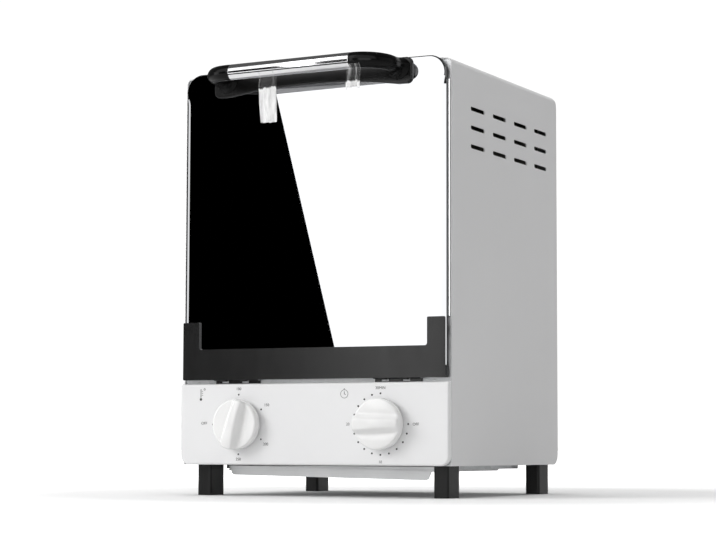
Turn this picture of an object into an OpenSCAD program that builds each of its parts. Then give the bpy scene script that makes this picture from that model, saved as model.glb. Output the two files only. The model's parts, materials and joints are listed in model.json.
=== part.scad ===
// Bench-top dry heat sterilizer: a tall sheet-metal oven with a drop-down
// glass door, two rotary controls, a wire rack, an instrument tray and a
// crumb tray. Millimetres, +Z up, origin on the floor under the middle of
// the whole object, front of the oven towards -Y.

/* [Body] */
// Width over the side panels
body_w = 250; // [240:1:262]
// Depth from the glass front to the rear panel
body_d = 236; // [230:1:246]
// Height of the top of the case above the floor
body_top = 357; // [354:0.5:360]
// Height of the feet under the case
foot_h = 26; // [24:0.5:28]
// Sheet thickness of the case
sheet_t = 1; // [0.8:0.1:1.2]
// Radius of the top edges of the case
top_r = 5; // [4:0.5:8]
// Radius of the rear corners of the case
rear_r = 10; // [8:0.5:12]

/* [Door] */
// Thickness of the door glass
glass_t = 4; // [4:0.5:5]
// Height of the top edge of the glass above the floor
glass_top = 359; // [358:0.5:361]
// Radius of the upper corners of the glass
glass_r = 15; // [8:0.5:20]
// How far the middle of the handle bar stands in front of the glass
handle_out = 38; // [36:0.5:46]
// Radius of the handle bar
bar_r = 6.65; // [6:0.05:7]
// Half length of the bright handle sleeve
sleeve_half = 55.8; // [50:0.1:57]
// Radius of the hinge pins
pin_r = 1.5; // [1.2:0.1:1.6]

/* [Controls] */
// Sideways place of the temperature knob
knob_tx = -67.5; // [-69:0.5:-66]
// Sideways place of the timer knob
knob_mx = 65; // [64:0.5:67]
// Height of both knobs above the floor
knob_z = 59.7; // [58:0.1:61]
// Radius of the knobs
knob_r = 21; // [19:0.5:22]
// Radius of the ring of dial dots
dial_r = 24.9; // [24.5:0.1:26]

/* [Vents] */
// Length of one side vent slot
vent_len = 28.8; // [24:0.2:32]
// Height of one side vent slot
vent_h = 3.6; // [3:0.1:4.5]

/* [Hidden] */
$fn = 48;

hw = body_w / 2;            // half width of the case
zb = foot_h;                // underside of the case
case_y = 5.3;               // front edge of the side panels
gland_len = 13;             // how far the cord gland stands behind the case
film_t = 0.35;              // thickness of the film on the handle
y_min = -(handle_out + bar_r + film_t);
y_max = body_d + gland_len;
y_shift = -(y_min + y_max) / 2;   // puts the middle of the depth at y = 0
panel_top = zb + 67.8;      // top edge of the control panel
hinge_y = 2.4;              // hinge axis behind the glass front
hinge_z = zb + 72.7;        // hinge axis above the floor
hinge_xl = -75;             // middle of the left hinge
hinge_xr = 75;              // middle of the right hinge
glass_half = 122.2;         // half width of the glass
glass_z0 = zb + 80;         // bottom edge of the glass
trim_half = 122.1;          // half width of the bottom trim
trim_z0 = zb + 71.1;        // bottom of the trim
trim_z1 = zb + 96.9;        // top of the middle of the trim
trim_z2 = zb + 119.9;       // top of the upturned ends
bar_z = zb + 325.4;         // height of the handle bar
bend_r = 22;                // bend radius of the handle ends
foot_x = 80.8;              // where the handle ends meet the glass
plate_z0 = zb + 311;         // lower corners of the handle plate
ch_w = 104;                 // half width inside the chamber
ch_z0 = 113;                // floor of the chamber
ch_z1 = 340;                // ceiling of the chamber
ch_y1 = 207;                // rear wall of the chamber
ff_y = 6.5;                 // front face of the mouth frame
rail_z = 180.8;             // top of the rails that carry the rack

// ---- helpers ----
module place() translate([0, y_shift, 0]) children();
// extrude a profile drawn in X and Z, from depth y0 to y1
module along_y(y0, y1) translate([0, y1, 0]) rotate([90, 0, 0]) linear_extrude(y1 - y0) children();
// extrude a profile drawn in Y and Z, from x0 to x1
module along_x(x0, x1) translate([x0, 0, 0]) rotate([90, 0, 90]) linear_extrude(x1 - x0) children();
module rod_x(r, x0, x1, y, z) translate([x0, y, z]) rotate([0, 90, 0]) cylinder(r = r, h = x1 - x0);
module rod_y(r, y0, y1, x, z) translate([x, y0, z]) rotate([-90, 0, 0]) cylinder(r = r, h = y1 - y0);
module rod_z(r, z0, z1, x, y) translate([x, y, z0]) cylinder(r = r, h = z1 - z0);
module box(x0, x1, y0, y1, z0, z1) translate([x0, y0, z0]) cube([x1 - x0, y1 - y0, z1 - z0]);
module rect(x0, x1, z0, z1) translate([x0, z0]) square([x1 - x0, z1 - z0]);
// rectangle with four round corners
module rrect(x0, x1, z0, z1, r) {
  rect(x0 + r, x1 - r, z0, z1);
  rect(x0, x1, z0 + r, z1 - r);
  for (x = [x0 + r, x1 - r], z = [z0 + r, z1 - r]) translate([x, z]) circle(r);
}
// rectangle with only its upper corners round
module toprect(x0, x1, z0, z1, r) {
  rect(x0, x1, z0, z1 - r);
  rect(x0 + r, x1 - r, z0, z1);
  for (x = [x0 + r, x1 - r]) translate([x, z1 - r]) circle(r);
}
// horizontal slot with round ends
module slot(xc, zc, len, h) {
  rect(xc - len / 2 + h / 2, xc + len / 2 - h / 2, zc - h / 2, zc + h / 2);
  for (s = [-1, 1]) translate([xc + s * (len / 2 - h / 2), zc]) circle(h / 2);
}
// straight piece of wire between two points
module strand(a, b, r) {
  d = b - a;
  l = norm(d);
  translate(a) rotate([0, acos(d[2] / l), atan2(d[1], d[0])]) cylinder(r = r, h = l, $fn = 16);
}
module wire(pts, r) {
  for (i = [0:len(pts) - 2]) strand(pts[i], pts[i + 1], r);
  for (i = [1:len(pts) - 2]) translate(pts[i]) sphere(r * 1.25, $fn = 16);
}

// ---- case ----
module case_front(inset) toprect(-hw + inset, hw - inset, zb + inset, body_top - inset, top_r - inset);
module case_side(inset, y0) {
  r = rear_r - inset;
  yr = body_d - inset;
  rect(y0, yr - r, zb + inset, body_top - inset);
  rect(y0, yr, zb + inset + r, body_top - inset - r);
  for (z = [zb + inset + r, body_top - inset - r]) translate([yr - r, z]) circle(r);
}
module case_solid(inset, y0) intersection() {
  along_y(y0, body_d + 1) case_front(inset);
  along_x(-hw - 1, hw + 1) case_side(inset, y0);
}
module side_vents() for (s = [-1, 1], i = [0:3], j = [0:2])
  along_x(s * hw - 3, s * hw + 3) slot(58.6 + i * 46.2, zb + 294.3 - j * 15.7, vent_len, vent_h);

module outer_shell() place() color([0.72, 0.72, 0.73]) difference() {
  case_solid(0, case_y);
  case_solid(sheet_t, case_y - 2);
  box(-hw + sheet_t, hw - sheet_t, case_y - 1, body_d - rear_r, zb - 1, zb + 3);
  along_y(body_d - 3, body_d + 2) rrect(-104, 104, 48, 335, 6);
  side_vents();
  for (x = [-109, 109], z = [43, 190, 340]) rod_y(1.3, body_d - 3, body_d + 2, x, z);
  for (z = [43, 340]) rod_y(1.3, body_d - 3, body_d + 2, 0, z);
}
module back_cover() place() color([0.7, 0.7, 0.71]) along_y(body_d + 0.02, body_d + 1) difference() {
  rrect(-114, 114, 38, 345, 5);
  for (i = [-2:2], j = [0:6]) slot(i * 34, 320 - j * 12, 24, 3.6);
  for (i = [-2:2], j = [0:3]) slot(i * 34 + (i == -2 ? 4 : 0), 132 - j * 12, i == -2 ? 16 : 24, 3.6);
  translate([-84, 62]) circle(8.05);
  for (x = [-109, 109], z = [43, 190, 340]) translate([x, z]) circle(1.9);
  for (z = [43, 340]) translate([0, z]) circle(1.9);
}
module case_screw(x, z) {
  rod_y(3.2, body_d + 1.02, body_d + 2, x, z);
  translate([x, body_d + 2, z]) rotate([-90, 0, 0]) cylinder(r1 = 3.2, r2 = 1.9, h = 0.9);
  rod_y(1.25, body_d - 6, body_d + 1.1, x, z);
}
module screw_cross(x, z, y, d) {
  box(x - 1.7, x + 1.7, y - d, y + d, z - 0.35, z + 0.35);
  box(x - 0.35, x + 0.35, y - d, y + d, z - 1.7, z + 1.7);
}
module back_cover_screws() place() color([0.75, 0.75, 0.76])
  for (p = [[-109, 43], [-109, 190], [-109, 340], [109, 43], [109, 190], [109, 340], [0, 43], [0, 340]])
    difference() {
      case_screw(p[0], p[1]);
      screw_cross(p[0], p[1], body_d + 3, 1.1);
    }
module base_pan() place() color([0.6, 0.6, 0.62]) difference() {
  union() {
    box(-hw + sheet_t + 0.1, hw - sheet_t - 0.1, 6, body_d - rear_r - 0.1, zb, zb + 1);
    for (s = [-1, 1]) box(s > 0 ? hw - sheet_t - 1.1 : -hw + sheet_t + 0.1, s > 0 ? hw - sheet_t - 0.1 : -hw + sheet_t + 1.1, 9, body_d - rear_r - 0.1, zb, zb + 12);
    box(-hw + sheet_t + 0.1, hw - sheet_t - 0.1, body_d - rear_r - 1.1, body_d - rear_r - 0.1, zb, zb + 12);
  }
  for (p = foot_spots) rod_z(2.1, zb - 1, zb + 3, p[0], p[1]);
  for (i = [-2:2]) along_base_slot(i * 26, 118);
}
// cooling slots in the floor of the control bay
module along_base_slot(x, y) translate([0, 0, zb - 1]) linear_extrude(4) {
  translate([x - 9, y - 1.5]) square([18, 3]);
  for (s = [-1, 1]) translate([x + s * 9, y]) circle(1.5);
}

// ---- mouth of the chamber ----
module front_frame() place() color([0.62, 0.62, 0.63]) difference() {
  along_y(ff_y, ff_y + 1) difference() {
    toprect(-hw + sheet_t + 0.15, hw - sheet_t - 0.15, zb + 1.2, body_top - sheet_t - 0.15, top_r - sheet_t);
    rrect(-ch_w, ch_w, ch_z0, ch_z1, 4);
    for (x = [knob_tx, knob_mx]) translate([x, knob_z]) circle(5.2);
  }
}
module door_seal() place() color([0.12, 0.12, 0.12]) along_y(4.3, ff_y) difference() {
  rrect(-110.4, 110.4, 107.2, 345.4, 7);
  rrect(-ch_w - 1, ch_w + 1, 112.2, ch_z1 + 1, 4);
}
module chamber_liner() place() color([0.66, 0.67, 0.68]) difference() {
  union() {
    box(-ch_w - 1, ch_w + 1, ff_y + 1, ch_y1 + 1, ch_z0 - 1, ch_z1 + 1);
  }
  box(-ch_w, ch_w, ff_y, ch_y1, ch_z0, ch_z1);
  for (s = [-1, 1], y = element_y, z = element_z) rod_x(5.2, s > 0 ? ch_w - 1 : -ch_w - 2, s > 0 ? ch_w + 2 : -ch_w + 1, y, z);
  rod_y(3.3, ch_y1 - 1, ch_y1 + 2, 80, 290);
}
element_y = [66, 146];
element_z = [124, 329];
module rail(x0, x1, y0, y1, z) {
  box(x0, x1, y0, y1, z - 1, z);
  for (s = [-1, 1]) if (s * x1 > 0 && s * x0 > 0) box(s > 0 ? x1 - 0.9 : x0, s > 0 ? x1 : x0 + 0.9, y0, y1, z - 9, z);
}
module rack_rails() place() color([0.7, 0.7, 0.71]) for (z = [rail_z, rail_z + 70]) {
  rail(ch_w - 8, ch_w, 12, 200, z);
  rail(-ch_w, -ch_w + 8, 12, 200, z);
}
module insulation_blanket() place() color([0.85, 0.83, 0.72]) difference() {
  box(-ch_w - 10, ch_w + 10, ff_y + 3, ch_y1 + 11, ch_z0 - 0.8, ch_z1 + 10);
  box(-ch_w - 1.2, ch_w + 1.2, ff_y, ch_y1 + 1.2, ch_z0 - 5, ch_z1 + 1.2);
  for (s = [-1, 1], y = element_y, z = element_z) rod_x(8, s > 0 ? ch_w - 1 : -ch_w - 12, s > 0 ? ch_w + 12 : -ch_w + 1, y, z);
  rod_y(4.5, ch_y1 - 1, ch_y1 + 14, 80, 290);
}

// ---- heating ----
module element(y, z) {
  rod_x(3.3, -ch_w - 8, ch_w + 8, y, z);
  for (s = [-1, 1]) rod_x(1.2, s > 0 ? ch_w + 8 : -ch_w - 15, s > 0 ? ch_w + 15 : -ch_w - 8, y, z);
}
module upper_elements() place() color([0.35, 0.33, 0.31]) for (y = element_y) element(y, element_z[1]);
module lower_elements() place() color([0.35, 0.33, 0.31]) for (y = element_y) element(y, element_z[0]);
module element_insulators() place() color([0.9, 0.88, 0.82]) for (s = [-1, 1], y = element_y, z = element_z) difference() {
  union() {
    rod_x(5.1, s > 0 ? ch_w - 0.6 : -ch_w - 1.2, s > 0 ? ch_w + 1.2 : -ch_w + 0.6, y, z);
    rod_x(7.2, s > 0 ? ch_w + 1.2 : -ch_w - 6.2, s > 0 ? ch_w + 6.2 : -ch_w - 1.2, y, z);
  }
  rod_x(3.34, s > 0 ? ch_w - 3 : -ch_w - 8, s > 0 ? ch_w + 8 : -ch_w + 3, y, z);
}

// ---- controls ----
module thermostat_body() place() color([0.75, 0.72, 0.66]) difference() {
  union() {
    box(knob_tx - 17, knob_tx + 17, ff_y + 1.05, 27, knob_z - 14, knob_z + 14);
    rod_y(4.8, -3.6, ff_y + 2, knob_tx, knob_z);
    for (x = [-10, 0, 10]) box(knob_tx + x - 3, knob_tx + x + 3, 27, 34, knob_z - 8, knob_z - 7.2);
  }
  rod_y(3.06, -5, 20.5, knob_tx, knob_z);
}
module thermostat_bulb() place() color([0.72, 0.45, 0.3]) {
  rod_y(3, ch_y1 - 62, ch_y1 - 2, 80, 290);
  wire([[80, ch_y1 - 3, 290], [80, ch_y1 + 15, 290], [80, ch_y1 + 15, 104], [-30, ch_y1 + 15, 104],
    [-30, 40, 104], [knob_tx, 40, 90], [knob_tx, 24, 74.8]], 0.8);
}
module timer_body() place() color([0.7, 0.7, 0.68]) difference() {
  union() {
    rod_y(23, ff_y + 1.05, 36, knob_mx, knob_z);
    rod_y(4.8, -3.6, ff_y + 2, knob_mx, knob_z);
    rod_y(17, 36, 38, knob_mx, knob_z);
    rod_y(2, 38, 42, knob_mx, knob_z);
    for (x = [-6, 6]) box(knob_mx + x - 3, knob_mx + x + 3, 30, 44, knob_z + 21, knob_z + 21.8);
  }
  rod_y(3.06, -5, 24.5, knob_mx, knob_z);
}
module control_nuts() place() color([0.78, 0.78, 0.79]) for (x = [knob_tx, knob_mx]) difference() {
  translate([x, -0.55, knob_z]) rotate([90, 0, 0]) cylinder(r = 7.2, h = 2.4, $fn = 6);
  rod_y(4.85, -5, 2, x, knob_z);
}
module shaft(x, y1) {
  difference() {
    rod_y(3, -13, y1, x, knob_z);
    box(x + 1.9, x + 4, -14, -4.2, knob_z - 4, knob_z + 4);
  }
}
module thermostat_shaft() place() color([0.8, 0.8, 0.8]) shaft(knob_tx, 20);
module timer_shaft() place() color([0.8, 0.8, 0.8]) shaft(knob_mx, 24);
// round knob with a raised finger grip that narrows towards its pointing end
module temperature_knob() place() color([0.92, 0.92, 0.92]) translate([knob_tx, 0, knob_z]) rotate([0, 16, 0]) knob();
module timer_knob() place() color([0.92, 0.92, 0.92]) translate([knob_mx, 0, knob_z]) rotate([0, 90, 0]) knob();
module knob() difference() {
  union() {
    rotate([90, 0, 0]) rotate_extrude($fn = 72) polygon([[0, 1.2], [knob_r, 1.2], [knob_r, 3.6], [knob_r - 0.5, 4.6],
      [knob_r - 2, 6], [knob_r - 4.5, 7.4], [knob_r - 8, 8.6], [0, 9.2]]);
    intersection() {
      translate([0, -3, 0]) rotate([90, 0, 0]) linear_extrude(14) polygon([[-5.6, -knob_r + 1], [5.6, -knob_r + 1], [5.2, 0], [3.6, knob_r - 1], [-3.6, knob_r - 1], [-5.2, 0]]);
      rotate([90, 0, 0]) rotate_extrude($fn = 72) polygon([[0, 2], [knob_r - 0.6, 2], [knob_r - 0.8, 7], [knob_r - 3, 11.5],
        [knob_r - 6, 14], [knob_r - 10, 15.6], [0, 16.6]]);
    }
  }
  rod_y(17, -4.4, 0, 0, 0);
  rod_y(3.03, -13.4, 0, 0, 0);
}
module control_panel() place() color([0.88, 0.88, 0.88]) difference() {
  intersection() {
    translate([0, 0, zb - 1]) linear_extrude(80) {
      translate([-hw + 4, -0.5]) square([body_w - 8, 5.5]);
      translate([-hw, 3.5]) square([body_w, 1.5]);
      for (s = [-1, 1]) translate([s * (hw - 4), 3.5]) circle(4);
    }
    along_y(-1, case_y - 0.3) rrect(-hw, hw, zb, panel_top, 1.5);
    along_y(-1, case_y - 0.3) {
      rect(-hw + 8, hw - 8, zb, panel_top + 2);
      rect(-hw, hw, zb + 8, panel_top + 2);
      for (s = [-1, 1]) translate([s * (hw - 8), zb + 8]) circle(8);
    }
  }
  along_y(1, case_y + 3) {
    rect(-hw + 9.5, hw - 9.5, zb + 1.5, panel_top - 1.5);
    rect(-hw + 2.5, hw - 2.5, zb + 9.5, panel_top - 1.5);
    for (s = [-1, 1]) translate([s * (hw - 9.5), zb + 8.5]) circle(7);
  }
  for (x = [knob_tx, knob_mx]) rod_y(5, -2, 2, x, knob_z);
}
// printed dots: five round the temperature dial, sixteen round the timer
module dial_dot(x, ang, r) rod_y(r, -0.6, -0.5, x + dial_r * sin(ang), knob_z + dial_r * cos(ang));
module dial_marks() place() color([0.15, 0.15, 0.15]) {
  for (a = [-90, 0, 60, 120, 180]) dial_dot(knob_tx - 0.7, a, 0.75);
  for (i = [0:15]) dial_dot(knob_mx - 0.7, 90 + i * 18, 0.8);
}

// ---- electrics ----
module terminal_block() place() color([0.88, 0.86, 0.78]) difference() {
  box(-90, -54, 150, 166, zb + 1.05, zb + 18);
  for (x = [-83, -72, -61]) {
    rod_y(2.2, 149, 167, x, zb + 8);
    rod_z(2.6, zb + 13, zb + 19, x, 158);
  }
}
module thermal_cutout() place() color([0.3, 0.3, 0.3]) {
  rod_z(8, ch_z0 - 9, ch_z0 - 1.05, 0, 110);
  for (s = [-1, 1]) box(s * 6 - 1.5, s * 6 + 1.5, 109.6, 110.4, ch_z0 - 17, ch_z0 - 9);
  box(-13, 13, 105, 115, ch_z0 - 2.2, ch_z0 - 1.05);
}
module wiring_harness() place() color([0.55, 0.12, 0.1]) {
  wire([[-84, body_d - 8, 62], [-84, 190, 62], [-84, 190, 34], [-84, 168, 34]], 1.3);
  wire([[-72, 148, 34], [-72, 120, 34], [-68, 120, 34], [-68, 30.5, 34], [-68, 30.5, 51.4]], 1.3);
  wire([[-61, 148, 34], [-61, 130, 34], [-6, 130, 34], [-6, 130, 90], [-6, 110, 90], [-6, 110, 95.6]], 1.3);
  wire([[-57.5, 31, 52.8], [-57.5, 31, 88], [-57.5, 42, 88], [59, 42, 88], [59, 42, 81.9]], 1.3);
  wire([[71, 42, 81.9], [71, 42, 94], [118.5, 42, 94], [118.5, 66, 94], [118.5, 66, 122.4]], 1.3);
  wire([[6, 110, 95.6], [6, 110, 90], [6, 146, 90], [118.5, 146, 90], [118.5, 146, 122.4]], 1.3);
}
module cable_gland() place() color([0.1, 0.1, 0.1]) difference() {
  union() {
    rod_y(11, body_d + 1.02, body_d + 3.5, -84, 62);
    translate([-84, body_d + 3.5, 62]) rotate([-90, 0, 0]) cylinder(r1 = 9.4, r2 = 7.6, h = gland_len - 3.5);
    rod_y(8, body_d - 6, body_d + 1.1, -84, 62);
    translate([-84, body_d - 5, 62]) rotate([-90, 0, 0]) cylinder(r = 11, h = 4.4, $fn = 6);
  }
  rod_y(3.5, body_d - 8, y_max + 1, -84, 62);
}

// ---- feet and crumb tray guides ----
foot_spots = [[-110.6, 26.7], [110.8, 26.7], [-110.6, 221.2], [110.8, 221.2]];
module foot(x, y) difference() {
  translate([0, 0, 0]) linear_extrude(zb - 0.02) {
    rrect(x - 6.6, x + 6.6, y - 11.7, y + 11.7, 2.3);
  }
  rod_z(4.2, -1, 14, x, y);
  rod_z(2.1, 10, zb + 1, x, y);
}
module feet() place() color([0.08, 0.08, 0.08]) for (p = foot_spots) foot(p[0], p[1]);
module foot_screws() place() color([0.75, 0.75, 0.76]) for (p = foot_spots) difference() {
  union() {
    rod_z(3.8, 11.4, 14, p[0], p[1]);
    rod_z(1.95, 13.5, zb + 4, p[0], p[1]);
  }
  translate([p[0], p[1], 11]) { box(-2.4, 2.4, -0.5, 0.5, -1, 1.6); box(-0.5, 0.5, -2.4, 2.4, -1, 1.6); }
}
module tray_guides() place() color([0.62, 0.62, 0.63]) for (s = [-1, 1]) mirror([s < 0 ? 1 : 0, 0, 0]) {
  box(98.6, 103, 40, 196, zb - 0.75, zb - 0.02);
  box(102.2, 103, 40, 196, zb - 3.4, zb - 0.02);
  box(98.9, 103, 40, 196, zb - 3.4, zb - 2.6);
}

// ---- hinges ----
// each hinge: a middle lug and two outer lugs on the bracket, with a door knuckle between them
lug_spans = [[-18.4, -13.2], [-6.2, 6.2], [13.2, 24]];
knuckle_spans = [[-12.9, -6.5], [6.5, 12.9]];
lug_r = 2.3;
knuckle_r = 2.9;
module hinge_bracket(xh) difference() {
  union() {
    box(xh - 18.4, xh + 24, 5.05, 6.45, zb + 44, hinge_z + lug_r);
    for (u = lug_spans) {
      box(xh + u[0], xh + u[1], hinge_y, 6.45, hinge_z - lug_r, hinge_z + lug_r);
      rod_x(lug_r, xh + u[0], xh + u[1], hinge_y, hinge_z);
    }
  }
  rod_x(pin_r + 0.02, xh - 30, xh + 30, hinge_y, hinge_z);
  for (u = knuckle_spans) box(xh + u[0] - 0.35, xh + u[1] + 0.35, 4.9, 6.6, hinge_z - 4.2, hinge_z + 5);
  for (s = [-1, 1]) rod_y(1.6, 4, 8, xh + s * 12, zb + 52);
}
module hinge_bracket_left() place() color([0.2, 0.2, 0.2]) hinge_bracket(hinge_xl);
module hinge_bracket_right() place() color([0.2, 0.2, 0.2]) hinge_bracket(hinge_xr);
module hinge_pins() place() color([0.75, 0.75, 0.76]) for (x = [hinge_xl, hinge_xr]) {
  rod_x(pin_r, x - 18.6, x + 24.2, hinge_y, hinge_z);
  rod_x(2.2, x + 24.2, x + 25.2, hinge_y, hinge_z);
}

// ---- door ----
module door_glass() place() color([0.03, 0.03, 0.035]) difference() {
  along_y(0, glass_t) toprect(-glass_half, glass_half, glass_z0, glass_top, glass_r);
  for (s = [-1, 1]) rod_y(2.4, -1, glass_t + 1, s * foot_x, bar_z);
}
module bottom_trim() place() color([0.13, 0.13, 0.13]) difference() {
  union() {
    along_y(-2, -0.05) {
      rrect(-trim_half, trim_half, trim_z0, trim_z1, 1);
      rrect(-trim_half, -106.5, trim_z0, trim_z2, 1);
      rrect(106.5, trim_half, trim_z0, trim_z2, 1);
      rect(-109.5, -104.5, trim_z1 - 3, trim_z1 + 2);
      rect(104.5, 109.5, trim_z1 - 3, trim_z1 + 2);
    }
    along_y(-0.1, 5) rect(-trim_half, trim_half, trim_z0, glass_z0 - 0.05);
    for (x = [hinge_xl, hinge_xr], u = knuckle_spans) rod_x(knuckle_r, x + u[0], x + u[1], hinge_y, hinge_z);
  }
  // round inner corners where the ends turn up
  for (s = [-1, 1]) rod_y(2, -3, 0.5, s * 104.5, trim_z1 + 2);
  for (x = [hinge_xl, hinge_xr]) {
    // room behind the front face for the bracket lugs and the pin head beside each knuckle
    box(x - 6.5, x + 6.5, -0.05, 6, trim_z0 - 1, hinge_z + 2.9);
    box(x - 19.2, x - 12.9, -0.05, 6, trim_z0 - 1, hinge_z + 2.9);
    box(x + 12.9, x + 25.8, -0.05, 6, trim_z0 - 1, hinge_z + 2.9);
    for (u = knuckle_spans) {
      difference() {
        box(x + u[0] - 0.1, x + u[1] + 0.1, 4.4, 6, trim_z0 - 1, hinge_z + 4);
        rod_x(knuckle_r, x + u[0] - 1, x + u[1] + 1, hinge_y, hinge_z);
      }
      difference() {
        box(x + u[0] - 0.1, x + u[1] + 0.1, -0.05, 6, trim_z0 - 1, hinge_z);
        rod_x(knuckle_r, x + u[0] - 1, x + u[1] + 1, hinge_y, hinge_z);
      }
    }
    rod_x(pin_r + 0.05, x - 19, x + 25.5, hinge_y, hinge_z);
  }
}
module side_channel() {
  box(111.2, 124, 4.1, 4.9, trim_z2 + 0.3, glass_top - 20);
}
module side_channel_right() place() color([0.72, 0.72, 0.73]) side_channel();
module side_channel_left() place() color([0.72, 0.72, 0.73]) mirror([1, 0, 0]) side_channel();
module handle_backplate() place() color([0.12, 0.12, 0.12]) difference() {
  along_y(-2.5, -0.05) difference() {
    rrect(-92.8, 92.8, plate_z0, glass_top - 0.3, 5);
    // the lower edge rises in a shallow arc between the feet of the handle
    translate([0, plate_z0 + 6.2 - 519]) circle(519, $fn = 720);
  }
  for (s = [-1, 1]) rod_y(2.4, -4, 1, s * foot_x, bar_z);
}
// curved end: a quarter bend, a straight leg and a flared foot
module handle_end() {
  difference() {
    rod_x(bar_r, sleeve_half + 0.1, foot_x - bend_r, -handle_out, bar_z);
    rod_x(5.42, sleeve_half - 1, sleeve_half + 2.6, -handle_out, bar_z);
  }
  translate([foot_x - bend_r, -handle_out + bend_r, bar_z]) rotate([0, 0, -90])
    rotate_extrude(angle = 90, $fn = 64) translate([bend_r, 0]) circle(bar_r);
  difference() {
    translate([foot_x, -2.6, bar_z]) rotate([90, 0, 0]) rotate_extrude() polygon([[0, 0], [7.5, 0], [bar_r, 8],
      [bar_r, handle_out - bend_r - 2.6], [0, handle_out - bend_r - 2.6]]);
    rod_y(1.7, -15.4, 0, foot_x, bar_z);
  }
}
module handle_end_right() place() color([0.06, 0.06, 0.06]) handle_end();
module handle_end_left() place() color([0.06, 0.06, 0.06]) mirror([1, 0, 0]) handle_end();
module handle_sleeve() place() color([0.8, 0.8, 0.81]) difference() {
  rod_x(bar_r, -sleeve_half, sleeve_half, -handle_out, bar_z);
  rod_x(5.45, -sleeve_half - 1, sleeve_half + 1, -handle_out, bar_z);
}
module handle_core() place() color([0.1, 0.1, 0.1]) rod_x(5.4, -sleeve_half - 2.5, sleeve_half + 2.5, -handle_out, bar_z);
module handle_screws() place() color([0.75, 0.75, 0.76]) for (s = [-1, 1]) difference() {
  union() {
    rod_y(1.65, -15, glass_t + 0.5, s * foot_x, bar_z);
    rod_y(5, glass_t + 0.02, glass_t + 0.6, s * foot_x, bar_z);
    rod_y(3.4, glass_t + 0.5, glass_t + 2.1, s * foot_x, bar_z);
  }
  screw_cross(s * foot_x, bar_z, glass_t + 2.1, 0.9);
}
// clear film left round the bar, with a hanging tail; over the bend it lies only on the front
module film_tab(x0, x1, xw, ztail) difference() {
  union() {
    rod_x(bar_r + film_t, x0, x1, -handle_out, bar_z);
    box(x0, x1, -handle_out - bar_r - film_t, -handle_out - bar_r - 0.02, ztail, bar_z);
  }
  rod_x(bar_r + 0.02, x0 - 1, x1 + 1, -handle_out, bar_z);
  box(xw, x1 + 1, -handle_out, -handle_out + 10, bar_z - 10, bar_z + 10);
}
module film_tab_left() place() color([0.9, 0.9, 0.92, 0.6]) film_tab(-26.6, -8.6, -8, zb + 279.4);
module film_tab_right() place() color([0.9, 0.9, 0.92, 0.6]) film_tab(53, 66.2, 58.4, zb + 277.8);

// ---- rack and trays ----
module wire_rack() place() color([0.78, 0.78, 0.79]) {
  z = rail_z + 2.1;
  for (y = [16, 194]) rod_x(1.9, -101.2, 101.2, y, z);
  for (s = [-1, 1]) rod_y(1.7, 16, 194, s * 99, z);
  for (i = [-5:5]) rod_y(1.25, 16, 194, i * 16.4, z);
  rod_x(1.45, -99, 99, 105, z);
}
module instrument_tray() place() color([0.75, 0.75, 0.76]) {
  z = rail_z + 4.1;
  difference() {
    translate([0, 0, z]) linear_extrude(18) rrect(-88, 88, 24, 176, 8);
    translate([0, 0, z + 0.8]) linear_extrude(20) rrect(-87.2, 87.2, 24.8, 175.2, 7.2);
    for (i = [-3:3], j = [0:4]) rod_z(3, z - 1, z + 2, i * 22, 52 + j * 24);
  }
  translate([0, 0, z + 17.2]) linear_extrude(0.8) difference() {
    rrect(-92, 92, 20, 180, 12);
    rrect(-87.6, 87.6, 24.4, 175.6, 7.6);
  }
}
// shallow pan under the case, with a pull lip that hangs lower at its right end
module crumb_tray() place() color([0.74, 0.74, 0.74]) {
  difference() {
    along_x(-97, 97) polygon([[33.6, zb - 0.9], [33.6, zb - 5], [164, zb - 5], [173, zb - 0.9]]);
    along_x(-96.2, 96.2) polygon([[34.6, zb - 0.4], [34.6, zb - 4.2], [163.6, zb - 4.2], [171.6, zb - 0.4]]);
    box(-98, 98, 33, 34.4, zb - 4.2, zb);
  }
  for (s = [-1, 1]) box(s > 0 ? 96.4 : -101.4, s > 0 ? 101.4 : -96.4, 42, 160, zb - 1.7, zb - 0.95);
  along_y(32.6, 33.6) difference() {
    union() {
      polygon([[-95.7, zb - 0.9], [-93.2, zb - 7.6], [-91.2, zb - 8.7], [89.6, zb - 11.9], [91.9, zb - 10.7], [94.8, zb - 4.1]]);
    }
  }
}

outer_shell();
back_cover();
back_cover_screws();
base_pan();
front_frame();
door_seal();
control_panel();
dial_marks();
chamber_liner();
rack_rails();
insulation_blanket();
upper_elements();
lower_elements();
element_insulators();
thermostat_body();
thermostat_bulb();
timer_body();
control_nuts();
terminal_block();
thermal_cutout();
wiring_harness();
cable_gland();
feet();
foot_screws();
hinge_bracket_left();
hinge_bracket_right();
hinge_pins();
tray_guides();
door_glass();
bottom_trim();
side_channel_left();
side_channel_right();
handle_backplate();
handle_end_left();
handle_end_right();
handle_sleeve();
handle_core();
handle_screws();
film_tab_left();
film_tab_right();
temperature_knob();
thermostat_shaft();
timer_knob();
timer_shaft();
wire_rack();
instrument_tray();
crumb_tray();
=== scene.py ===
import json
import math
import random

import bmesh
import bpy
import numpy as np
from mathutils import Matrix, Vector, noise
from mathutils.geometry import tessellate_polygon


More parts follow.
